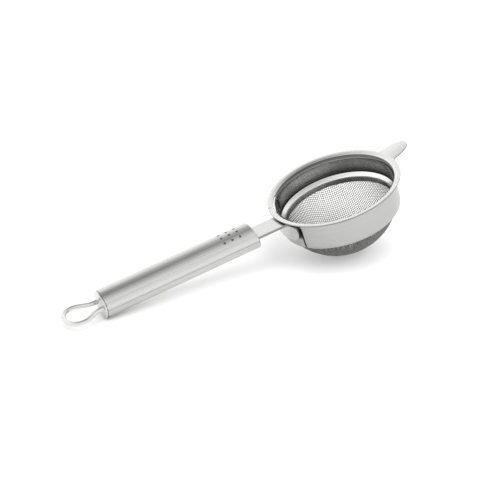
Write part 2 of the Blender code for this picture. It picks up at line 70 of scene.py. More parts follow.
STRAP_THICK = 1.6 * MM
STRAP_TOP = 1.0 * MM
STRAP_START = -1.8 * MM
SADDLE_HALF_WIDTH = 12.6 * MM
SADDLE_TOP = -2.6 * MM
SADDLE_BOTTOM = -14.2 * MM
SADDLE_CORNER_R = 5.4 * MM
BEND_R = 2.6 * MM
TUBE_R = 8.55 * MM
TUBE_WALL = 0.6 * MM
TUBE_LENGTH = 101.5 * MM
MOUTH_SLOPE = 0.2
DOT_R = 0.85 * MM
DOT_DEPTH = 0.35 * MM
DOT_PITCH = 5.3 * MM
DOT_FIRST = 10.8 * MM
DOT_TURN = math.radians(25.5)
DOT_CENTRE = math.radians(18.0)
CAP_RIM = 0.9 * MM
CAP_DOME = 1.2 * MM
LEG_Y = 4.9 * MM
LEG_OUTSIDE = 2.2 * MM
WIRE_R = 1.5 * MM
LOOP_HALF_WIDTH = 9.8 * MM
LOOP_WIDEST = 13.6 * MM
LOOP_LENGTH = 21.8 * MM
LOOP_ROUNDNESS = 2.3

# Places of the two rest mounts along their pieces
TAB_REST_ALONG = 7.0 * MM
STRAP_REST_ALONG = 7.0 * MM

# Details that only the visual has, or that it draws differently from the solids
SHEET_EASE = 0.25 * MM
EASE_STEPS = 4
RING_STEPS = 360
BEND_STEPS = 14
COLLAR_TURN = math.radians(38.0)
BRIDGE_STEPS = 90
BRIDGE_EASE = 0.08 * MM
BRIDGE_CLEAR = 0.1 * MM
JOINT_INNER_R = 39.7 * MM
JOINT_DEPTH = 0.35 * MM
JOINT_WIDTH = 0.5 * MM
JOINT_SLOPE = 0.02 * MM
JOINT_CLEAR = 2.5
JOINT_SIDES = (-2.0, -1.05, -0.95, 0.95, 1.05, 2.0)
TAB_SIDE_STEPS = 8
TAB_ROUND_STEPS = 40
WALL_EASE = 0.1 * MM
WALL_STEP = math.radians(0.05)
WALL_CURL_STEPS = 8
WALL_RAISED_STEPS = 30
CLAMP_EASE = 0.12 * MM
KNEE_SOFT = 0.5 * MM
KNEE_SHARE = 0.2
KNEE_STEPS = 6
ARM_STEPS = 6
NECK_STEPS = 14
SADDLE_STEPS = 44
STRAP_ACROSS = 28
STRAP_EASE = 0.22 * MM
# Painted reflection: angle from the top and half width of a dark line painted along the tube
TUBE_REFLECTION_TURN = math.radians(97.6)
TUBE_REFLECTION_HALF = math.radians(5.0)
LIP = 0.9 * MM
LIP_RISE = 0.4 * MM
BORE_FRONT = 4.0 * MM
MOUTH_CLEAR = 1.4 * MM
BACK_CLEAR = 1.0 * MM
BACK_EDGE = 0.35 * MM
FRONT_STEP = 1.5 * MM
DOT_STEP = 0.16 * MM
BACK_STEP = 3.0 * MM
DOT_SIDES = 89
PLAIN_SIDES = 150
WELD = 0.002 * MM
CAP_SKIRT = 2.0 * MM
CAP_CHAMFER = 0.1 * MM
CAP_EASE = 0.35 * MM
CAP_EDGE_STEPS = 5
CAP_DOME_STEPS = 16
CAP_SIDES = 160
LEG_INSIDE = 3.0 * MM
LOOP_STEPS = 40
LOOP_SIDES = 28

# Steel grain: scale of the coarse streaks against the fine ones, scale of the smudges, and depth
COARSE_GRAIN = 0.23
SMUDGE_SCALE = 70.0
GRAIN_DEPTH = 0.02 * MM

# Wire cloth
PITCH = 1.3 * MM
CLOTH_WIRE_R = 0.19 * MM
CLOTH_WAVE = 0.11 * MM
CLOTH_SIDES = 6
CLOTH_TOP = -18.6 * MM
CLOTH_TURN = math.radians(-21.0)

# Studio: stops of the world's brightness from straight below to straight above, floor and light
WORLD_STOPS = ((0.0, 0.9), (0.49, 1.1), (0.52, 1.35), (0.70, 1.35), (0.80, 0.95), (0.89, 0.60), (1.0, 0.35))
FLOOR_HALF = 4.0
FLOOR_GREY = 0.90
LIGHT_AT = Vector((-0.15, -0.7, 1.5))
LIGHT_SIZE = 1.6
LIGHT_POWER = 20.0

# Camera, in the row frame
CAMERA_AT = Vector((-341.08, -624.72, 337.46)) * MM
CAMERA_FORWARD = Vector((0.44086, 0.79841, -0.41010))
CAMERA_RIGHT = Vector((0.86489, -0.50005, -0.04377))
CAMERA_LENS = 94.08

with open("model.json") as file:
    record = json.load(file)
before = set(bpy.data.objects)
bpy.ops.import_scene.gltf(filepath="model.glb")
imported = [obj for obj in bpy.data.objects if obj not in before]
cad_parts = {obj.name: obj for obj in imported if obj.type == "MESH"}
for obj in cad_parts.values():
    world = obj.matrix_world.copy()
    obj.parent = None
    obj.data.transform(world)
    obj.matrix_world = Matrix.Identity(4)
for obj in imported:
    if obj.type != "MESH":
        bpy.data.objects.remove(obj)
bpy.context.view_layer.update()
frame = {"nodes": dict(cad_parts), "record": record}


# --- frames ------------------------------------------------------------------------------------


def mount_frame(name, along, up):
    """The frame whose point (along, 0, up) is the named mount, with Z against the mount's axis."""
    mount = next(m for m in frame["record"]["mounts"] if m["name"] == name)
    z = -Vector(mount["axis"])
    x = Vector((z.z, 0.0, -z.x))
    origin = Vector(mount["pos_m"]) - x * along - z * up
    rotation = Matrix((x, (0.0, 1.0, 0.0), z)).transposed()
    return Matrix.Translation(origin) @ rotation.to_4x4()


TAB = mount_frame("tab_rest", TAB_REST_ALONG, -RIM_THICK)
BOWL = TAB @ Matrix.Rotation(TAB_PITCH, 4, "Y") @ Matrix.Translation((-TAB_HINGE_X, 0.0, 0.0))
HANDLE = mount_frame("strap_rest", STRAP_REST_ALONG, STRAP_TOP - STRAP_THICK)
BOWL_TO_HANDLE = BOWL.inverted() @ HANDLE


# --- materials ---------------------------------------------------------------------------------


class Tree:
    """A small helper that adds linked shader nodes."""

    def __init__(self, tree):
        self.tree = tree

    def node(self, kind, links=None, values=None, **settings):
        """Add a node with the given input links, input values and settings."""
        made = self.tree.nodes.new(kind)
        for key, value in settings.items():
            setattr(made, key, value)
        for key, value in (values or {}).items():
            made.inputs[key].default_value = value
        for key, source in (links or {}).items():
            self.tree.links.new(source, made.inputs[key])
        return made

    def local(self, lay):
        """Shading positions in the frame that the part is drawn in."""
        place = self.node("ShaderNodeTexCoord").outputs["Object"]
        turned = self.node("ShaderNodeMapping", {"Vector": place}, vector_type="TEXTURE")
        turned.inputs["Location"].default_value = lay.translation
        turned.inputs["Rotation"].default_value = lay.to_euler()
        return turned.outputs[0]

    def streaks(self, lay, scale, detail=2.0, offset=0.0):
        """Noise stretched by a different scale along each axis of the frame."""
        placing = {"Scale": scale, "Location": (offset,) * 3}
        sized = self.node("ShaderNodeMapping", {"Vector": self.local(lay)}, placing)
        shape = {"Scale": 1.0, "Detail": detail}
        noise = self.node("ShaderNodeTexNoise", {"Vector": sized.outputs[0]}, shape)
        return noise.outputs["Fac"]

    def stops(self, ramp, stops):
        """Set a colour ramp to grey values at the given places."""
        elements = ramp.color_ramp.elements
        while len(elements) < len(stops):
            elements.new(0.5)
        for element, (place, value) in zip(elements, stops):
            element.position = place
            element.color = (value, value, value, 1.0)

    def mapped(self, source, low, high, to_low, to_high):
        """A value carried from one range to another, and kept inside it."""
        values = {"From Min": low, "From Max": high, "To Min": to_low, "To Max": to_high}
        return self.node("ShaderNodeMapRange", {"Value": source}, values).outputs["Result"]


def steel(name, lay, colour, roughness, grain, bump=0.25, spread=0.12, contrast=0.06):
    """Stainless steel with a drawn or brushed grain; grain holds the noise scales along X, Y and Z."""
    material = bpy.data.materials.new(name)
    material.use_nodes = True
    tree = Tree(material.node_tree)
    shader = material.node_tree.nodes["Principled BSDF"]
    fine = tree.streaks(lay, grain)
    coarse = tree.streaks(lay, tuple(g * COARSE_GRAIN for g in grain), 1.0, 3.7)
    cloud = tree.streaks(lay, (SMUDGE_SCALE,) * 3, 3.0, 1.3)
    both = tree.node("ShaderNodeMath", {0: fine, 1: coarse}, operation="ADD").outputs[0]
    rough = tree.mapped(both, 0.75, 1.25, roughness - spread / 2.0, roughness + spread / 2.0)
    patch = tree.mapped(cloud, 0.35, 0.65, -0.02, 0.03)
    total = tree.node("ShaderNodeMath", {0: rough, 1: patch}, operation="ADD").outputs[0]
    material.node_tree.links.new(total, shader.inputs["Roughness"])
    mix = tree.node("ShaderNodeMix", data_type="RGBA")
    mix.inputs["A"].default_value = (*(c * (1.0 - contrast) for c in colour), 1.0)
    mix.inputs["B"].default_value = (*(c * (1.0 + contrast) for c in colour), 1.0)
    material.node_tree.links.new(tree.mapped(both, 0.8, 1.2, 0.0, 1.0), mix.inputs["Factor"])
    material.node_tree.links.new(mix.outputs["Result"], shader.inputs["Base Color"])
    shader.inputs["Metallic"].default_value = 1.0
    if bump:
        depth = {"Strength": bump, "Distance": GRAIN_DEPTH}
        bumped = tree.node("ShaderNodeBump", {"Height": fine}, depth)
        material.node_tree.links.new(bumped.outputs[0], shader.inputs["Normal"])
    return material


def dim(material, tree, share):
    """Multiply a material's base colour by a share from another node."""
    colour = material.node_tree.nodes["Principled BSDF"].inputs["Base Color"]
    factors = {0: colour.links[0].from_socket, 1: share}
    scaled = tree.node("ShaderNodeVectorMath", factors, operation="MULTIPLY")
    material.node_tree.links.new(scaled.outputs[0], colour)


def paint_shade_outside(material, centre, inner_share, outer_share):
    """Paint shade onto a material, more on the side that faces away from a point."""
    tree = Tree(material.node_tree)
    spot = tree.node("ShaderNodeNewGeometry")
    place = {0: spot.outputs["Position"]}
    away = tree.node("ShaderNodeVectorMath", place, {1: centre}, operation="SUBTRACT")
    way = tree.node("ShaderNodeVectorMath", {0: away.outputs[0]}, operation="NORMALIZE")
    facing = {0: way.outputs[0], 1: spot.outputs["Normal"]}
    dot = tree.node("ShaderNodeVectorMath", facing, operation="DOT_PRODUCT")
    dim(material, tree, tree.mapped(dot.outputs["Value"], -0.4, 0.4, inner_share, outer_share))


def paint_reflection_line(material, lay, turn, half_turn, share):
    """Paint a dark reflection as a fine line along a tube, at an angle from its top about its axis."""
    tree = Tree(material.node_tree)
    parts = tree.node("ShaderNodeSeparateXYZ", {0: tree.local(lay)})
    across = tree.node("ShaderNodeMath", {0: parts.outputs["Y"]}, {1: -1.0}, operation="MULTIPLY").outputs[0]
    angle = tree.node("ShaderNodeMath", {0: across, 1: parts.outputs["Z"]}, operation="ARCTAN2").outputs[0]
    off = tree.node("ShaderNodeMath", {0: angle}, {1: turn}, operation="SUBTRACT").outputs[0]
    far = tree.node("ShaderNodeMath", {0: off}, operation="ABSOLUTE").outputs[0]
    dim(material, tree, tree.mapped(far, 0.0, half_turn, share, 1.0))


def dim_along(material, lay, axis, low, high, stops):
    """Grade a material by its place along an axis of the frame; along Y, by its distance from Y = 0."""
    tree = Tree(material.node_tree)
    place = tree.node("ShaderNodeSeparateXYZ", {0: tree.local(lay)}).outputs[axis]
    if axis == "Y":
        place = tree.node("ShaderNodeMath", {0: place}, operation="ABSOLUTE").outputs[0]
    ramp = tree.node("ShaderNodeValToRGB", {"Fac": tree.mapped(place, low, high, 0.0, 1.0)})
    tree.stops(ramp, stops)
    dim(material, tree, ramp.outputs["Color"])


MILD = {"spread": 0.06, "bump": 0.08, "contrast": 0.025}
RIM_STEEL = steel("satin_rim_steel", BOWL, (0.60, 0.60, 0.595), 0.26, (900.0, 2600.0, 2600.0), **MILD)
DRAWN = {"spread": 0.10, "bump": 0.20, "contrast": 0.08}
# Painted shade: the collar and the bowl's inward faces take this darker copy of the rim's steel, with its
# grain drawn along Z.
INNER_SHADE_STEEL = steel("drawn_inner_steel_painted_shade", BOWL, (0.37, 0.37, 0.365), 0.20, (5200.0, 5200.0, 90.0), **DRAWN)
WALL_STEEL = steel("satin_wall_steel", BOWL, (0.43, 0.43, 0.425), 0.30, (12.0, 12.0, 3600.0), **MILD)
PLATE_STEEL = steel("closing_plate_steel", BOWL, (0.43, 0.43, 0.425), 0.30, (12.0, 12.0, 3600.0), **MILD)
# Painted shade: the dark colour of the flange's, tab's and strap's outer edges stands in for the shade on
# them; the rougher finish is that of a sheared edge.
SHEARED_EDGE_SHADE_STEEL = steel("sheared_edge_painted_shade_steel", BOWL, (0.27, 0.27, 0.265), 0.40, (900.0, 900.0, 2600.0), **MILD)
RING_STEEL = steel("pressed_ring_steel", BOWL, (0.74, 0.74, 0.73), 0.22, (20.0, 20.0, 3600.0), **MILD)
CLOTH_STEEL = steel("drawn_cloth_wire", BOWL, (0.50, 0.50, 0.49), 0.30, (900.0, 900.0, 900.0), bump=0.0)
STRAP_STEEL = steel("satin_strap_steel", HANDLE, (0.56, 0.56, 0.555), 0.28, (60.0, 3600.0, 3600.0), **MILD)
BRUSHED = {"spread": 0.1, "bump": 0.25}
TUBE_STEEL = steel("brushed_tube_steel", HANDLE, (0.53, 0.53, 0.52), 0.26, (25.0, 3600.0, 3600.0), **BRUSHED)
# Painted shade: the grip dimples are darkened, for the shade in their hollows.
DIMPLE_SHADE_STEEL = steel("dimple_painted_shade_steel", HANDLE, (0.14, 0.14, 0.135), 0.35, (900.0, 3600.0, 3600.0), **MILD)
BRIGHT = {"spread": 0.05, "bump": 0.05}
POLISHED = steel("polished_steel", HANDLE, (0.60, 0.60, 0.59), 0.10, (500.0, 1500.0, 1500.0), **BRIGHT)
# Painted shade: the cloth's wires are darkened to half their colour on the side facing the bowl's middle and
# to a quarter on the outer side.
paint_shade_outside(CLOTH_STEEL, BOWL @ Vector((0.0, 0.0, -RIM_THICK)), 0.50, 0.25)
# Painted reflection: a fine dark line along the tube, standing in for the horizon's reflection.
paint_reflection_line(TUBE_STEEL, HANDLE, TUBE_REFLECTION_TURN, TUBE_REFLECTION_HALF, 0.66)
COLLAR_SHADE_GRADE = ((0.0, 0.30), (0.18, 0.75), (0.45, 1.0), (0.70, 0.75), (0.82, 0.30), (1.0, 0.30))
RING_SHADE_GRADE = ((0.0, 0.30), (0.58, 0.42), (0.68, 1.0), (1.0, 1.0))
PLATE_SHADE_UP = ((0.0, 1.0), (0.30, 1.0), (0.38, 0.15), (1.0, 0.15))
PLATE_SHADE_OUT = ((0.0, 1.0), (0.94, 1.0), (0.965, 0.12), (1.0, 0.12))
# Painted shade, graded by height in the bowl: dark near the collar's top bend and from its foot down,
# brightest in between.
dim_along(INNER_SHADE_STEEL, BOWL, "Z", -COLLAR_DEPTH, 0.0, COLLAR_SHADE_GRADE)
# Painted shade: the ring's skirt, below its lip, is darkened.
dim_along(RING_STEEL, BOWL, "Z", CLAMP_BOTTOM, CLAMP_LIP_Z, RING_SHADE_GRADE)
# Painted shade: the closing plate is dark in its upper part beside the saddle, and in thin strips along its
# side edges, where it lies in the gaps.
dim_along(PLATE_STEEL, BOWL, "Z", WALL_BOTTOM, 0.0, PLATE_SHADE_UP)
dim_along(PLATE_STEEL, BOWL, "Y", 0.0, PLATE_HALF_WIDTH, PLATE_SHADE_OUT)


# --- mesh helpers ------------------------------------------------------------------------------


def piece(name, bm, lay, material, nodes, bevel=0.0, segments=3, crease=40.0):
    """Make a finished piece from a bmesh drawn in the frame lay, and let it ride on the object."""
    bmesh.ops.transform(bm, matrix=lay, verts=bm.verts)
    bmesh.ops.recalc_face_normals(bm, faces=bm.faces)
    mesh = bpy.data.meshes.new(name)
    bm.to_mesh(mesh)
    bm.free()
    mesh.shade_smooth()
    mesh.materials.append(material)
    obj = bpy.data.objects.new(name, mesh)
    bpy.context.scene.collection.objects.link(obj)
    if not bevel:
        mesh.set_sharp_from_angle(angle=math.radians(crease))
    else:
        round_off = obj.modifiers.new("edges", "BEVEL")
        round_off.width = bevel
        round_off.segments = segments
        round_off.limit_method = "ANGLE"
        round_off.angle_limit = math.radians(crease)
        round_off.harden_normals = True
    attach(obj, "root")
    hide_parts(*nodes)
    return obj


def paint(obj, lay, material, test):
    """Give a further material to the faces whose centre and normal, in the frame lay, pass a test."""
    obj.data.materials.append(material)
    index = len(obj.data.materials) - 1
    into = lay.inverted() @ obj.matrix_world
    for face in obj.data.polygons:
        if test(into @ face.center, into.to_3x3() @ face.normal):
            face.material_index = index


def faces_axis(centre, normal):
    """Whether a face of the bowl looks in towards its axis."""
    return normal.dot(Vector((-centre.x, -centre.y, 0.0)).normalized()) > 0.5


def skin(bm, rows, closed_rows=False, closed_columns=False):
    """Quads between rows of points, which all have the same number of points."""
    grid = [[bm.verts.new(p) for p in row] for row in rows]
    row_count, column_count = len(grid), len(grid[0])
    for i in range(row_count if closed_rows else row_count - 1):
        for j in range(column_count if closed_columns else column_count - 1):
            a, b = grid[i], grid[(i + 1) % row_count]
            k = (j + 1) % column_count
            bm.faces.new((a[j], b[j], b[k], a[k]))
    return grid


def swept(bm, outline, start=0.0, sweep=2.0 * math.pi):
    """A closed outline of (radius, z) turned about Z, with flat ends where it doesn't go all round."""
    whole = abs(sweep - 2.0 * math.pi) < 1e-9
    count = RING_STEPS if whole else RING_STEPS + 1
    rows = []
    for k in range(count):
        a = start + sweep * k / RING_STEPS
        rows.append([(r * math.cos(a), r * math.sin(a), z) for r, z in outline])
    grid = skin(bm, rows, closed_rows=whole, closed_columns=True)
    if not whole:
        bm.faces.new(grid[0])
        bm.faces.new(list(reversed(grid[-1])))


def lathe(bm, outline, steps):
    """An open outline of (radius, x) from axis to axis, turned about X."""
    first, last = outline[0], outline[-1]
    rows = []
    for r, x in outline[1:-1]:
        ring = [2.0 * math.pi * k / steps for k in range(steps)]
        rows.append([(x, r * math.cos(a), r * math.sin(a)) for a in ring])
    grid = skin(bm, rows, closed_columns=True)
    for end, row in ((first, grid[0]), (last, grid[-1])):
        pole = bm.verts.new((end[1], 0.0, 0.0))
        for k in range(steps):
            bm.faces.new((pole, row[k], row[(k + 1) % steps]))


# --- rim ---------------------------------------------------------------------------------------


def quarter_turns():
    """Angles of an eased edge, from 0 to a right angle."""
    return [math.pi / 2.0 * k / EASE_STEPS for k in range(EASE_STEPS + 1)]


def sheet_edge():
    """The rim sheet's eased edge, as distances in from it and heights, from the top down."""
    turns = quarter_turns()
    upper = [(SHEET_EASE * (1.0 - math.sin(a)), -SHEET_EASE * (1.0 - math.cos(a))) for a in turns]
    lower = [
        (SHEET_EASE * (1.0 - math.cos(a)), -RIM_THICK + SHEET_EASE * (1.0 - math.sin(a))) for a in turns
    ]
    return upper + lower


def bend_points(radius_r, radius_z):
    """Points of the bend from the flange (turn 0) down to the collar, in radius and height."""
    turns = [math.pi / 2.0 * k / BEND_STEPS for k in range(BEND_STEPS + 1)]
    centre_r, centre_z = RIM_INNER_R + RIM_BEND, -RIM_BEND
    return [(centre_r - radius_r * math.sin(a), centre_z + radius_z * math.cos(a)) for a in turns]


def bend_height(radius):
    """Height of the bend's upper face at a radius."""
    return -RIM_BEND + math.sqrt(RIM_BEND**2 - (RIM_INNER_R + RIM_BEND - radius) ** 2)


def flange_edge():
    """The flange's eased outer edge, from its top to its underside."""
    edge = [(RIM_OUTER_R - inward, z) for inward, z in sheet_edge()]
    return [(RIM_OUTER_R - 2.0 * SHEET_EASE, 0.0)] + edge


def bridge_outline():
    """The flange's upper face over the collar's gap, from its inner edge out and round the outer one."""
    edge_z, joint_z = bend_height(FLANGE_EDGE_R), bend_height(JOINT_INNER_R)
    bend = bend_points(RIM_BEND, RIM_BEND)[::-1]
    low, high = FLANGE_EDGE_R + BRIDGE_CLEAR, JOINT_INNER_R - BRIDGE_EASE
    outline = [(FLANGE_EDGE_R, edge_z - 2.0 * BRIDGE_EASE), (FLANGE_EDGE_R + BRIDGE_EASE, edge_z)]
    outline += [p for p in bend if low < p[0] < high]
    outline += [(JOINT_INNER_R - JOINT_SLOPE, joint_z), (JOINT_INNER_R, joint_z)]
    outline += [p for p in bend if p[0] > JOINT_INNER_R + BRIDGE_EASE]
    return outline + flange_edge()


def bridge_turns(groove):
    """Angles of the sections over the gap, with close ones at the sides of the butt joint."""
    low, high = math.pi - COLLAR_GAP_HALF, math.pi + COLLAR_GAP_HALF
    turns = [low + (high - low) * k / BRIDGE_STEPS for k in range(BRIDGE_STEPS + 1)]
    turns = [a for a in turns if abs(a - JOINT_ANGLE) > JOINT_CLEAR * groove]
    return sorted(turns + [JOINT_ANGLE + groove * k for k in JOINT_SIDES])


def flange_bridge(bm):
    """The flange over the gap in the collar, with a fine butt joint cut in its outer edge."""
    outline = bridge_outline()
    edge_z = bend_height(FLANGE_EDGE_R)
    underside = [(RIM_INNER_R + RIM_BEND, -RIM_THICK), (FLANGE_EDGE_R, edge_z - RIM_THICK)]
    groove = JOINT_WIDTH / 2.0 / RIM_OUTER_R
    rows = []
    for a in bridge_turns(groove):
        cut = abs(a - JOINT_ANGLE) < groove
        row = []
        for r, z in outline:
            height = min(z, -JOINT_DEPTH) if cut and r >= JOINT_INNER_R else z
            row.append((r * math.cos(a), r * math.sin(a), height))
        row += [(r * math.cos(a), r * math.sin(a), z) for r, z in underside]
        rows.append(row)
    grid = skin(bm, rows, closed_columns=True)
    bm.faces.new(grid[0])
    bm.faces.new(list(reversed(grid[-1])))


def tab_outline():
    """The rest tab's edge in its own frame, as points with their outward normals."""
    side = []
    for k in range(TAB_SIDE_STEPS):
        along = (TAB_STRAIGHT + TAB_LAP) * k / TAB_SIDE_STEPS - TAB_LAP
        back = 1.0 - along / TAB_STRAIGHT
        side.append((along, TAB_HALF_WIDTH + TAB_FLARE * back * back))
    for k in range(TAB_ROUND_STEPS):
        a = math.pi / 2.0 * k / TAB_ROUND_STEPS
        side.append((TAB_STRAIGHT + TAB_ROUND * math.sin(a), TAB_HALF_WIDTH * math.cos(a)))
    loop = [(x, -y) for x, y in side] + [(TAB_STRAIGHT + TAB_ROUND, 0.0)] + side[::-1]
    points = [Vector(p) for p in loop]
    ways = []
    for k, point in enumerate(points):
        step = points[min(k + 1, len(points) - 1)] - points[max(k - 1, 0)]
        ways.append(Vector((step.y, -step.x)).normalized())
    return points, ways


def fill_across(bm, rings):
    """The tab's top and underside, in strips between the two sides of its edge."""
    count = len(rings)
    for k in range(count // 2):
        a, b = rings[k], rings[k + 1]
        d, c = rings[count - 1 - k], rings[count - 2 - k]
        if k + 1 >= count - 2 - k:
            bm.faces.new((a[0], b[0], d[0]))
            bm.faces.new((a[-1], d[-1], b[-1]))
            break
        bm.faces.new((a[0], b[0], c[0], d[0]))
        bm.faces.new((a[-1], d[-1], c[-1], b[-1]))


def tab_plate(bm):
    """The rest tab: a flat plate with eased edges that rises a little from the rim's outer edge."""
    edge = sheet_edge()
    lay = BOWL.inverted() @ TAB
    rings = []
    for point, way in zip(*tab_outline()):
        ring = []
        for inward, z in edge:
            at = point - way * inward
            ring.append(bm.verts.new(lay @ Vector((at.x, at.y, z))))
        rings.append(ring)
    for one, two in zip(rings, rings[1:] + rings[:1]):
        for k in range(len(edge) - 1):
            bm.faces.new((one[k], two[k], two[k + 1], one[k + 1]))
    fill_across(bm, rings)


def make_rim():
    """Rolled flange and collar in one sheet, the flange over the collar's gap, and the rest tab."""
    bm = bmesh.new()
    half = math.pi - COLLAR_GAP_HALF
    outline = flange_edge()
    outline += bend_points(RIM_BEND - SHEET, RIM_BEND - RIM_THICK)
    outline += [
        (RIM_INNER_R + SHEET, -COLLAR_DEPTH + SHEET_EASE),
        (RIM_INNER_R + SHEET - SHEET_EASE, -COLLAR_DEPTH),
        (RIM_INNER_R + SHEET_EASE, -COLLAR_DEPTH),
        (RIM_INNER_R, -COLLAR_DEPTH + SHEET_EASE),
    ]
    outline += bend_points(RIM_BEND, RIM_BEND)[::-1]
    swept(bm, outline, -half, 2.0 * half)
    flange_bridge(bm)
    tab_plate(bm)
    rim = piece("rim_flange_and_collar", bm, BOWL, RIM_STEEL, ("rim_ring",))
    turn_z = -RIM_BEND * (1.0 - math.cos(COLLAR_TURN))

    def in_collar(centre, normal):
        """Whether a face is on the inside, below the bend's upper part."""
        inward = Vector((-centre.x, -centre.y, RIM_INNER_R)).normalized()
        return centre.z < turn_z and normal.dot(inward) > 0.4

    def on_edge(centre, normal):
        """Whether a face is on the sheared outer edge of the flange or the tab."""
        return abs(normal.z) < 0.7 and math.hypot(centre.x, centre.y) > RIM_OUTER_R - SHEET

    # The collar's inward faces take the steel with painted shade.
    paint(rim, BOWL, INNER_SHADE_STEEL, in_collar)
    # Painted shade on the outer edges of the flange and the tab.
    paint(rim, BOWL, SHEARED_EDGE_SHADE_STEEL, on_edge)


# --- wall --------------------------------------------------------------------------------------


def wall_profile(top):
    """The wall's section: a straight sheet whose lower edge curls in a little."""
    curl = []
    for k in range(WALL_CURL_STEPS + 1):
        t = k / WALL_CURL_STEPS
        curl.append((-WALL_CURL * t * t, WALL_BOTTOM + WALL_CURL_HEIGHT * (1.0 - t)))
    outside = [(WALL_OUTER_R, top)] + [(WALL_OUTER_R + d, z) for d, z in curl]
    inside = [(WALL_INNER_R + d, z) for d, z in reversed(curl)] + [(WALL_INNER_R, top)]
    return outside + inside


def make_wall():
    """The open band, which steps down under the rim's bend away from the handle."""
    high, low = math.pi - BAND_GAP_HALF, math.pi - WALL_RAISED_HALF
    raised = [low + (high - low) * k / WALL_RAISED_STEPS for k in range(WALL_RAISED_STEPS + 1)]
    turns = [(-a, WALL_TOP) for a in reversed(raised)]
    for k in range(RING_STEPS + 1):
        turns.append((WALL_STEP - low + 2.0 * (low - WALL_STEP) * k / RING_STEPS, WALL_SHOULDER))
    turns += [(a, WALL_TOP) for a in raised]
    rows = [[(r * math.cos(a), r * math.sin(a), z) for r, z in wall_profile(top)] for a, top in turns]
    bm = bmesh.new()
    grid = skin(bm, rows, closed_columns=True)
    bm.faces.new(grid[0])
    bm.faces.new(list(reversed(grid[-1])))
    wall = piece("wall", bm, BOWL, WALL_STEEL, ("wall_band",), bevel=WALL_EASE, segments=2)
    # The wall's inward faces take the steel with painted shade.
    paint(wall, BOWL, INNER_SHADE_STEEL, faces_axis)


def clamp_profile():
    """Section of the ring that grips the wire cloth: the sloping lip and the skirt below it."""
    outer = CLAMP_INNER_R + SHEET
    slope = math.atan2(CLAMP_LIP_Z - CLAMP_KNEE_Z, CLAMP_LIP_R - outer)
    across = Vector((-math.sin(slope), math.cos(slope))) * SHEET
    knee_rise = SHEET * math.tan((math.pi / 2.0 - slope) / 2.0)
    knee = Vector((CLAMP_INNER_R, CLAMP_KNEE_Z + knee_rise))
    lip = Vector((CLAMP_LIP_R, CLAMP_LIP_Z)) + across
    start, end = knee + Vector((0.0, -KNEE_SOFT)), knee.lerp(lip, KNEE_SHARE)
    outline = [(CLAMP_LIP_R, CLAMP_LIP_Z), (outer, CLAMP_KNEE_Z)]
    outline += [(outer, CLAMP_BOTTOM), (CLAMP_INNER_R, CLAMP_BOTTOM)]
    for k in range(KNEE_STEPS + 1):
        t = k / KNEE_STEPS
        outline.append(tuple(start.lerp(knee, t).lerp(knee.lerp(end, t), t)))
    return outline + [tuple(lip)]


def make_clamp_ring():
    """The ring inside the wall that grips the wire cloth."""
    bm = bmesh.new()
    swept(bm, clamp_profile())
    nodes = ("clamp_ring",)
    piece("inner_clamp_ring", bm, BOWL, RING_STEEL, nodes, bevel=CLAMP_EASE, segments=2)


# --- wire cloth --------------------------------------------------------------------------------


def net(radius, spacing, count):
    """A net of equal square meshes laid on a sphere, from two great circles through its bottom."""
    step = 2.0 * math.asin(spacing / (2.0 * radius))
    grid = np.full((count + 1, count + 1, 3), np.nan)
    for k in range(count + 1):
        a = step * k
        grid[k, 0] = (math.sin(a), 0.0, -math.cos(a))
        grid[0, k] = (0.0, math.sin(a), -math.cos(a))
    cosine = math.cos(step)
    for i in range(1, count + 1):
        for j in range(1, count + 1):
            p, q = grid[i, j - 1], grid[i - 1, j]
            if np.isnan(p).any() or np.isnan(q).any():
                continue
            dot = float(p @ q)
            along = (p + q) * (cosine / (1.0 + dot))
            rest = 1.0 - float(along @ along)
            if rest <= 0.0:
                continue
            normal = np.cross(p, q)
            normal /= np.linalg.norm(normal)
            options = (along + normal * math.sqrt(rest), along - normal * math.sqrt(rest))
            grid[i, j] = max(options, key=lambda v: float(np.linalg.norm(v - grid[i - 1, j - 1])))
    return grid * radius


def whole_net(radius, spacing, count):
    """The four quarters of the net, with index 0 in the middle of each side."""
    quarter = net(radius, spacing, count)
    size = 2 * count + 1
    grid = np.full((size, size, 3), np.nan)
    for sx in (-1, 1):
        for sy in (-1, 1):
            flip = np.array((sx, sy, 1.0))
            for i in range(count + 1):
                for j in range(count + 1):
                    grid[count + sx * i, count + sy * j] = quarter[i, j] * flip
    return grid


def wire_tube(bm, points, normals, radius, sides):
    """A closed round wire along points, with rings kept square to the path."""
    points = np.array(points)
    tangents = np.gradient(points, axis=0)
    tangents /= np.linalg.norm(tangents, axis=1, keepdims=True)
    side = np.cross(tangents, normals)
    side /= np.linalg.norm(side, axis=1, keepdims=True)
    up = np.cross(side, tangents)
    rows = []
    for p, s, u in zip(points, side, up):
        ring = (2.0 * math.pi * k / sides for k in range(sides))
        rows.append([p + radius * (math.cos(a) * s + math.sin(a) * u) for a in ring])
    grid = skin(bm, rows, closed_columns=True)
    bm.faces.new(grid[0])
    bm.faces.new(list(reversed(grid[-1])))


def woven_path(run, row, middle):
    """Points and normals of one wire, over and under those it crosses; run holds (column, point)."""
    path, normals = [], []
    for n, (column, point) in enumerate(run):
        sign = 1.0 if (row + column) % 2 else -1.0
        unit = point / np.linalg.norm(point)
        path.append(unit * (middle + sign * CLOTH_WAVE))
        normals.append(unit)
        if n + 1 < len(run):
            between = (point + run[n + 1][1]) / 2.0
            unit = between / np.linalg.norm(between)
            path.append(unit * middle)
            normals.append(unit)
    return path, normals


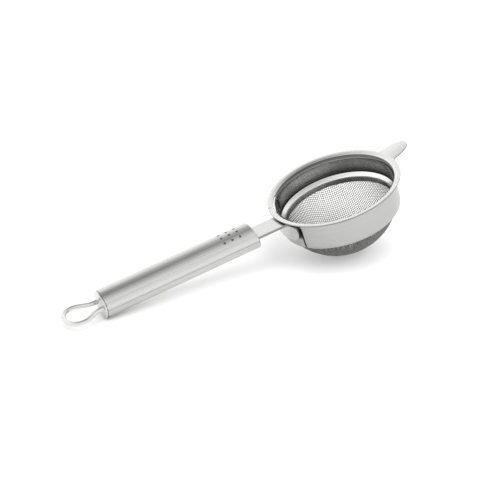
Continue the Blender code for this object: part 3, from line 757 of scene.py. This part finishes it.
def make_cloth():
    """Plain-woven wire cloth drawn into the bowl: two families of wires, over and under each other."""
    depth = MESH_BEND_Z - MESH_BOTTOM
    sphere = (MESH_EDGE_R**2 + depth**2) / (2.0 * depth)
    centre = Vector((0.0, 0.0, MESH_BOTTOM + sphere))
    middle = sphere - MESH_THICK / 2.0
    grid = whole_net(middle, PITCH, int(middle * math.pi / 2.0 / PITCH))
    top = CLOTH_TOP - centre.z
    matrix = BOWL @ Matrix.Translation(centre) @ Matrix.Rotation(CLOTH_TURN, 4, "Z")
    for name, rows, phase in (("cloth_warp", grid, 0), ("cloth_weft", grid.transpose(1, 0, 2), 1)):
        bm = bmesh.new()
        for i, row in enumerate(rows):
            run = [(j, p) for j, p in enumerate(row) if not np.isnan(p).any() and p[2] < top]
            if len(run) < 3:
                continue
            path, normals = woven_path(run, i + phase, middle)
            wire_tube(bm, path, normals, CLOTH_WIRE_R, CLOTH_SIDES)
        piece(name, bm, matrix, CLOTH_STEEL, ("mesh_bowl",))


# --- neck strap --------------------------------------------------------------------------------


def rounded_half_width(z):
    """Half width of the saddle's rounded outline at height z."""
    near = min(SADDLE_TOP - z, z - SADDLE_BOTTOM)
    flat = SADDLE_HALF_WIDTH - SADDLE_CORNER_R
    if near >= SADDLE_CORNER_R:
        return SADDLE_HALF_WIDTH
    rest = SADDLE_CORNER_R - max(near, 0.0)
    return flat + math.sqrt(max(SADDLE_CORNER_R**2 - rest**2, 0.0))


def strap_stations():
    """Points of the strap's middle surface in the bowl's mid plane: point, curve share, half width."""
    middle = STRAP_TOP - STRAP_THICK / 2.0
    inner = WALL_OUTER_R + SEAM
    saddle_mid = inner + STRAP_THICK / 2.0
    rotation = BOWL_TO_HANDLE.to_3x3()
    direction = rotation @ Vector((1.0, 0.0, 0.0))
    start = BOWL_TO_HANDLE @ Vector((STRAP_START, 0.0, middle))
    drop = math.pi / 2.0 - math.atan2(-direction.z, direction.x)
    bend = BEND_R - STRAP_THICK / 2.0
    reach = (-saddle_mid - start.x) / direction.x - bend * math.tan(drop / 2.0)
    bend_start = start + direction * reach
    centre = bend_start - Vector((-direction.z, 0.0, direction.x)) * bend
    stations = [(start.lerp(bend_start, k / ARM_STEPS), 0.0, STRAP_HALF) for k in range(ARM_STEPS + 1)]
    arm = bend_start - centre
    for k in range(1, NECK_STEPS + 1):
        share = k / NECK_STEPS
        point = centre + Matrix.Rotation(drop * share, 3, "Y") @ arm
        stations.append((point, share * share * (3.0 - 2.0 * share), STRAP_HALF))
    top = stations[-1][0]
    height = SADDLE_TOP - SADDLE_BOTTOM
    if top.z > SADDLE_TOP + 0.05 * MM:
        stations.append((Vector((top.x, 0.0, SADDLE_TOP + 0.02 * MM)), 1.0, STRAP_HALF))
    for k in range(SADDLE_STEPS + 1):
        z = SADDLE_TOP - height * (1.0 - math.cos(math.pi * k / SADDLE_STEPS)) / 2.0
        if z < top.z - 0.01 * MM:
            stations.append((Vector((top.x, 0.0, z)), 1.0, max(rounded_half_width(z), STRAP_HALF)))
    return stations


def make_strap():
    """Strap, bend and saddle as one bent sheet."""
    inner = WALL_OUTER_R + SEAM
    rows = []
    for point, share, half in strap_stations():
        row = []
        for j in range(STRAP_ACROSS + 1):
            y = half * (2.0 * j / STRAP_ACROSS - 1.0)
            curve = inner - math.sqrt(max(inner**2 - y**2, 0.0))
            row.append((point.x + curve * share, y, point.z))
        rows.append(row)
    bm = bmesh.new()
    skin(bm, rows)
    strap = piece("neck_strap_and_saddle", bm, BOWL, STRAP_STEEL, ("neck_strap",))
    thick = strap.modifiers.new("thickness", "SOLIDIFY")
    thick.thickness = STRAP_THICK
    thick.offset = 0.0
    thick.use_even_offset = True
    # Painted shade on the strap's edges.
    strap.data.materials.append(SHEARED_EDGE_SHADE_STEEL)
    thick.material_offset_rim = 1
    ease = strap.modifiers.new("edges", "BEVEL")
    ease.width = STRAP_EASE
    ease.segments = 3
    ease.limit_method = "ANGLE"
    ease.angle_limit = math.radians(50.0)
    ease.harden_normals = True


# --- handle ------------------------------------------------------------------------------------


def dot_places():
    """Centre of each grip dimple: its place along the axis and its angle from the top."""
    columns = [DOT_CENTRE + column * DOT_TURN for column in (-1, 0, 1)]
    return [(-DOT_FIRST - row * DOT_PITCH, turn) for row in range(3) for turn in columns]


def dimple(x, turn, dots):
    """How far the tube's surface dips at a place along it and an angle from its top."""
    for dot_x, dot_turn in dots:
        off = math.hypot(x - dot_x, (turn - dot_turn) * TUBE_R) / DOT_R
        if off < 1.0:
            return DOT_DEPTH * math.sqrt(1.0 - off * off)
    return 0.0


def tube_angles():
    """Angles of the tube's long edges, close together across the dimples."""
    patch = DOT_TURN + 1.6 * DOT_R / TUBE_R
    low, high = DOT_CENTRE - patch, DOT_CENTRE + patch
    rest = 2.0 * math.pi - 2.0 * patch
    return list(np.linspace(low, high, DOT_SIDES)) + list(np.linspace(high, high + rest, PLAIN_SIDES))[1:-1]


def tube_stations():
    """Places of the tube's sections from behind its mouth to its back, close across the dimples."""
    margin = 1.5 * DOT_R
    first, last = -DOT_FIRST + margin, -DOT_FIRST - 2.0 * DOT_PITCH - margin
    stations = list(np.arange(-MOUTH_SLOPE * TUBE_R - MOUTH_CLEAR, first, -FRONT_STEP))
    stations += list(np.arange(first, last, -DOT_STEP))
    stations += list(np.arange(last - BACK_CLEAR, -TUBE_LENGTH + BACK_CLEAR, -BACK_STEP))
    return stations + [-TUBE_LENGTH + BACK_EDGE]


def make_tube():
    """Round tube with a slanted, rounded mouth, whose surface dips into nine small grip dimples."""
    dots, angles, turns = dot_places(), tube_angles(), quarter_turns()
    inner = TUBE_R - TUBE_WALL

    def ring(x, radius, slope=0.0):
        """One section of the tube, leaning with the mouth where a slope is given."""
        ways = [(math.sin(a), math.cos(a)) for a in angles]
        return [(x - slope * radius * cosine, -radius * sine, radius * cosine) for sine, cosine in ways]

    rows = [ring(x, inner) for x in (-TUBE_LENGTH + SHEET_EASE, -TUBE_LENGTH / 2.0, -BORE_FRONT)]
    for a in turns:
        radius = inner + (TUBE_WALL - LIP_RISE) * (1.0 - math.cos(a))
        rows.append(ring(-SHEET_EASE * (1.0 - math.sin(a)), radius, MOUTH_SLOPE))
    for a in turns:
        rows.append(ring(-LIP * (1.0 - math.cos(a)), TUBE_R - LIP_RISE * (1.0 - math.sin(a)), MOUTH_SLOPE))
    for x in tube_stations():
        row = []
        for a in angles:
            radius = TUBE_R - dimple(x, a, dots)
            row.append((x, -radius * math.sin(a), radius * math.cos(a)))
        rows.append(row)
    back = -TUBE_LENGTH
    for a in turns:
        rows.append(ring(back + SHEET_EASE * (1.0 - math.sin(a)), TUBE_R - SHEET_EASE * (1.0 - math.cos(a))))
    for a in turns:
        rows.append(ring(back + SHEET_EASE * (1.0 - math.cos(a)), inner + SHEET_EASE * (1.0 - math.sin(a))))
    bm = bmesh.new()
    skin(bm, rows, closed_rows=True, closed_columns=True)
    bmesh.ops.remove_doubles(bm, verts=bm.verts, dist=WELD)
    tube = piece("handle", bm, HANDLE, TUBE_STEEL, ("handle_tube",))

    def in_dot(centre, normal):
        """Whether a face is inside one of the dimples."""
        turn = math.atan2(-centre.y, centre.z)
        near = min(math.hypot(centre.x - dot_x, (turn - dot_a) * TUBE_R) for dot_x, dot_a in dots)
        return near < DOT_R and math.hypot(centre.y, centre.z) > inner + SHEET_EASE

    # Painted shade in the dimples.
    paint(tube, HANDLE, DIMPLE_SHADE_STEEL, in_dot)


def make_cap():
    """Domed end cap."""
    face = -TUBE_LENGTH - SEAM
    back = face - CAP_RIM
    skirt = TUBE_R - TUBE_WALL - SEAM
    dome_r = (TUBE_R**2 + CAP_DOME**2) / (2.0 * CAP_DOME)
    flat_r = TUBE_R - CAP_EASE
    outline = [(0.0, face + CAP_SKIRT), (skirt, face + CAP_SKIRT), (skirt, face)]
    outline += [(TUBE_R - CAP_CHAMFER, face), (TUBE_R, face - CAP_CHAMFER)]
    for k in range(CAP_EDGE_STEPS + 1):
        a = math.pi / 2.0 * k / CAP_EDGE_STEPS
        outline.append((TUBE_R - CAP_EASE * (1.0 - math.cos(a)), back + CAP_EASE * (1.0 - math.sin(a))))
    for k in range(1, CAP_DOME_STEPS + 1):
        r = flat_r * (1.0 - k / CAP_DOME_STEPS)
        lift = math.sqrt(dome_r**2 - r**2) - math.sqrt(dome_r**2 - flat_r**2)
        outline.append((r, back - lift))
    bm = bmesh.new()
    lathe(bm, outline, CAP_SIDES)
    piece("handle_end_cap", bm, HANDLE, POLISHED, ("end_cap",))


def loop_half():
    """One side of the loop's path from inside the cap, as (distance behind the cap, half width)."""
    points = [(-LEG_INSIDE, LEG_Y)]
    for k in range(LOOP_STEPS):
        t = k / LOOP_STEPS
        width = LEG_Y + (LOOP_HALF_WIDTH - LEG_Y) * t * t * (3.0 - 2.0 * t)
        points.append((LEG_OUTSIDE + (LOOP_WIDEST - LEG_OUTSIDE) * t, width))
    for k in range(LOOP_STEPS):
        a = math.pi / 2.0 * k / LOOP_STEPS
        power = 2.0 / LOOP_ROUNDNESS
        reach = (LOOP_LENGTH - LOOP_WIDEST) * math.sin(a) ** power
        points.append((LOOP_WIDEST + reach, LOOP_HALF_WIDTH * math.cos(a) ** power))
    return points


def make_loop():
    """The wire loop, with both of its legs in the cap."""
    half = loop_half()
    route = half + [(LOOP_LENGTH, 0.0)] + [(x, -y) for x, y in reversed(half)]
    back = -TUBE_LENGTH - SEAM - CAP_RIM
    path = [(back - x, y, 0.0) for x, y in route]
    bm = bmesh.new()
    wire_tube(bm, path, [(0.0, 0.0, 1.0)] * len(path), WIRE_R, LOOP_SIDES)
    piece("hanging_ring", bm, HANDLE, POLISHED, ("hanging_loop",))


# --- stage -------------------------------------------------------------------------------------


def make_floor():
    """A wide, plain, pale floor."""
    mesh = bpy.data.meshes.new("floor")
    corners = [(x * FLOOR_HALF, y * FLOOR_HALF, 0.0) for x, y in ((-1, -1), (1, -1), (1, 1), (-1, 1))]
    mesh.from_pydata(corners, [], [(0, 1, 2, 3)])
    floor = bpy.data.objects.new("floor", mesh)
    bpy.context.scene.collection.objects.link(floor)
    material = bpy.data.materials.new("pale_floor")
    material.use_nodes = True
    shader = material.node_tree.nodes["Principled BSDF"]
    shader.inputs["Base Color"].default_value = (FLOOR_GREY, FLOOR_GREY, FLOOR_GREY, 1.0)
    shader.inputs["Roughness"].default_value = 0.9
    shader.inputs["Specular IOR Level"].default_value = 0.2
    mesh.materials.append(material)


def make_world():
    """A soft studio all round: bright behind and in front of the object, darker straight above."""
    world = bpy.data.worlds.new("studio")
    bpy.context.scene.world = world
    world.use_nodes = True
    tree = Tree(world.node_tree)
    way = tree.node("ShaderNodeTexCoord").outputs["Generated"]
    parts = tree.node("ShaderNodeSeparateXYZ", {0: way})
    height = tree.node("ShaderNodeMath", {0: parts.outputs["Z"]}, operation="ARCSINE").outputs[0]
    rise = tree.mapped(height, -0.5 * math.pi, 0.5 * math.pi, 0.0, 1.0)
    ramp = tree.node("ShaderNodeValToRGB", {"Fac": rise})
    tree.stops(ramp, WORLD_STOPS)
    background = world.node_tree.nodes["Background"]
    world.node_tree.links.new(ramp.outputs["Color"], background.inputs["Color"])
    strength = tree.mapped(parts.outputs["Y"], -1.0, 1.0, 0.88, 1.08)
    world.node_tree.links.new(strength, background.inputs["Strength"])


def make_light():
    """A large soft light above and in front, which the steel doesn't reflect as a shape."""
    light = bpy.data.lights.new("top_light", "AREA")
    light.shape = "RECTANGLE"
    light.size = LIGHT_SIZE
    light.size_y = LIGHT_SIZE
    light.energy = LIGHT_POWER
    obj = bpy.data.objects.new("top_light", light)
    obj.location = LIGHT_AT
    obj.rotation_mode = "QUATERNION"
    obj.rotation_quaternion = (-LIGHT_AT).to_track_quat("-Z", "Y")
    obj.visible_glossy = False
    bpy.context.scene.collection.objects.link(obj)


def make_camera():
    """The camera at the reference view's angle."""
    data = bpy.data.cameras.new("camera")
    data.lens = CAMERA_LENS
    data.sensor_width = 36.0
    data.clip_start = 0.01
    camera = bpy.data.objects.new("camera", data)
    forward = CAMERA_FORWARD.normalized()
    up = CAMERA_RIGHT.cross(forward).normalized()
    right = forward.cross(up)
    rotation = Matrix((right, up, -forward)).transposed()
    camera.matrix_world = Matrix.Translation(CAMERA_AT) @ rotation.to_4x4()
    bpy.context.scene.collection.objects.link(camera)
    bpy.context.scene.camera = camera


def finish_cad(node, material):
    """Give a solid that stays in view its own steel."""
    obj = frame["nodes"][node]
    obj.data.materials.clear()
    obj.data.materials.append(material)
    return obj


make_rim()
make_wall()
make_clamp_ring()
make_cloth()
make_strap()
make_tube()
make_cap()
make_loop()
# Painted shade on the closing plate, graded in its steel, and the inner steel with painted shade on its
# inward faces.
paint(finish_cad("closing_plate", PLATE_STEEL), BOWL, INNER_SHADE_STEEL, faces_axis)
finish_cad("support_ring", RING_STEEL)
finish_cad("front_plug", TUBE_STEEL)
make_floor()
make_world()
make_light()
make_camera()
bpy.context.scene.view_settings.view_transform = "Standard"
